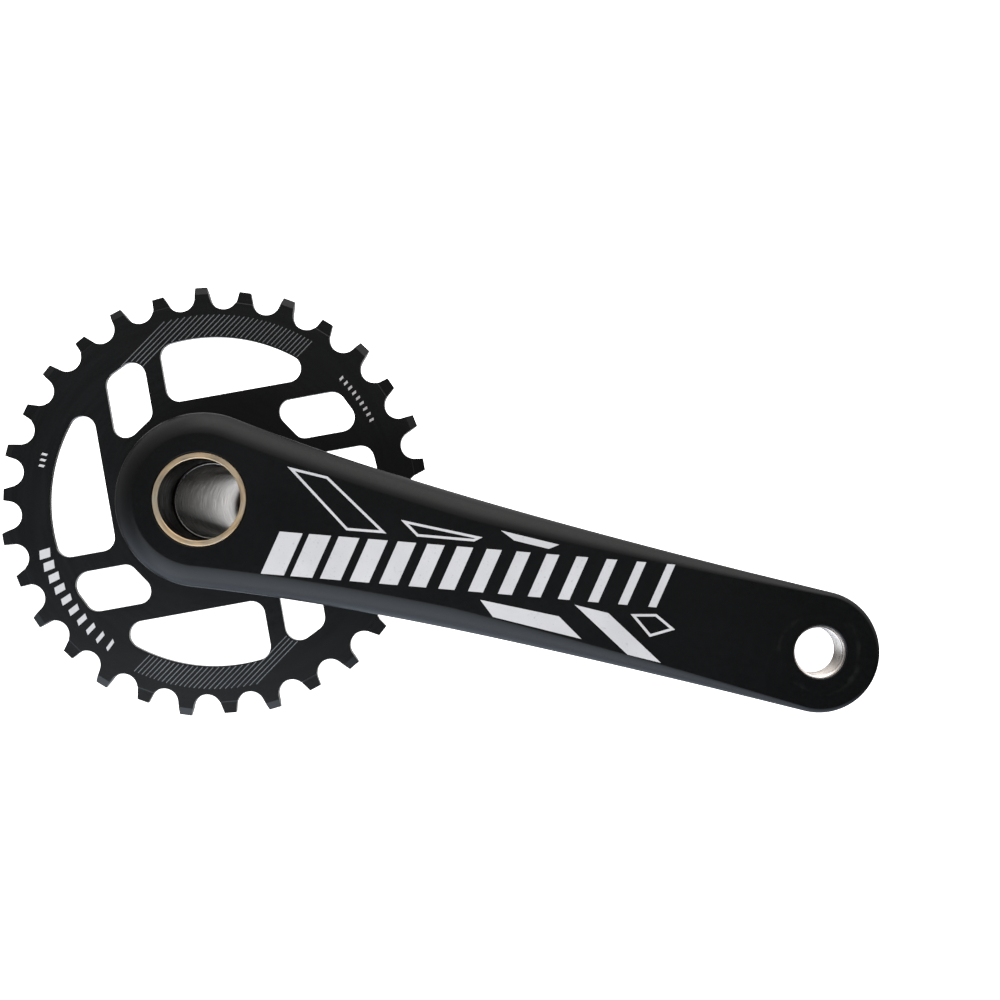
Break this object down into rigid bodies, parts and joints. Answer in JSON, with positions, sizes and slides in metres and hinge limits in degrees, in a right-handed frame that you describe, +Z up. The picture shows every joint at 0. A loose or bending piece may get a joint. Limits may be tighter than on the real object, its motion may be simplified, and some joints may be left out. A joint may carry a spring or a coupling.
{
  "type": "bicycle crankset",
  "caption": "Drive-side bicycle crank: black arm on a hollow spindle with a direct-mount narrow-wide chainring, turning in an external-cup bottom bracket.",
  "frame": {"origin": "middle of the bottom bracket on the spindle axis, where the bicycle frame's shell holds it", "axes": "Y is the spindle axis with the chainring and arm on the -Y side, +X points from the spindle to the pedal hole with the arm level, +Z is up"},
  "size_m": [0.2548, 0.156, 0.126],
  "materials": {
    "arm_black": "matte black anodised forging",
    "ring_black": "satin black anodised, machined",
    "spindle_nickel": "warm nickel plate on the head's rim, bright turned bore",
    "screw_black": "black oxide",
    "cup_black": "satin black anodised",
    "bearing_steel": "polished",
    "seal_rubber": "matte",
    "black_plastic": "moulded"
  },
  "bodies": {
    "bottom_bracket": {"drive_cup": "cup_black", "left_cup": "cup_black", "centre_sleeve": "black_plastic", "shell_spacer": "cup_black", "drive_outer_race": "bearing_steel", "left_outer_race": "bearing_steel", "drive_outer_seal": "seal_rubber", "drive_inner_seal": "seal_rubber", "left_outer_seal": "seal_rubber", "left_inner_seal": "seal_rubber", "drive_sleeve_o_ring": "seal_rubber", "left_sleeve_o_ring": "seal_rubber"},
    "crank": {"drive_arm": "arm_black", "spindle": "spindle_nickel", "chainring": "ring_black", "chainring_bolt_1": "screw_black", "chainring_bolt_2": "screw_black", "chainring_bolt_3": "screw_black", "drive_inner_race": "bearing_steel", "left_inner_race": "bearing_steel", "drive_dust_shield": "black_plastic", "left_dust_shield": "black_plastic"},
    "drive_cage": {"drive_cage": "black_plastic", "drive_ball_01": "bearing_steel", "drive_ball_02": "bearing_steel", "drive_ball_03": "bearing_steel", "drive_ball_04": "bearing_steel", "drive_ball_05": "bearing_steel", "drive_ball_06": "bearing_steel", "drive_ball_07": "bearing_steel", "drive_ball_08": "bearing_steel", "drive_ball_09": "bearing_steel", "drive_ball_10": "bearing_steel"},
    "left_cage": {"left_cage": "black_plastic", "left_ball_01": "bearing_steel", "left_ball_02": "bearing_steel", "left_ball_03": "bearing_steel", "left_ball_04": "bearing_steel", "left_ball_05": "bearing_steel", "left_ball_06": "bearing_steel", "left_ball_07": "bearing_steel", "left_ball_08": "bearing_steel", "left_ball_09": "bearing_steel", "left_ball_10": "bearing_steel"}
  },
  "joints": [
    {"name": "crank_spin", "type": "hinge", "parent": "bottom_bracket", "child": "crank", "pos_m": [0, 0, 0], "axis": [0, 1, 0], "continuous": true},
    {"name": "drive_cage_spin", "type": "hinge", "parent": "bottom_bracket", "child": "drive_cage", "pos_m": [0, -0.0437, 0], "axis": [0, 1, 0], "continuous": true},
    {"name": "left_cage_spin", "type": "hinge", "parent": "bottom_bracket", "child": "left_cage", "pos_m": [0, 0.0412, 0], "axis": [0, 1, 0], "continuous": true}
  ],
  "couplings": [
    {"joint": "drive_cage_spin", "follows": "crank_spin", "ratio": 0.4432},
    {"joint": "left_cage_spin", "follows": "crank_spin", "ratio": 0.4432}
  ]
}
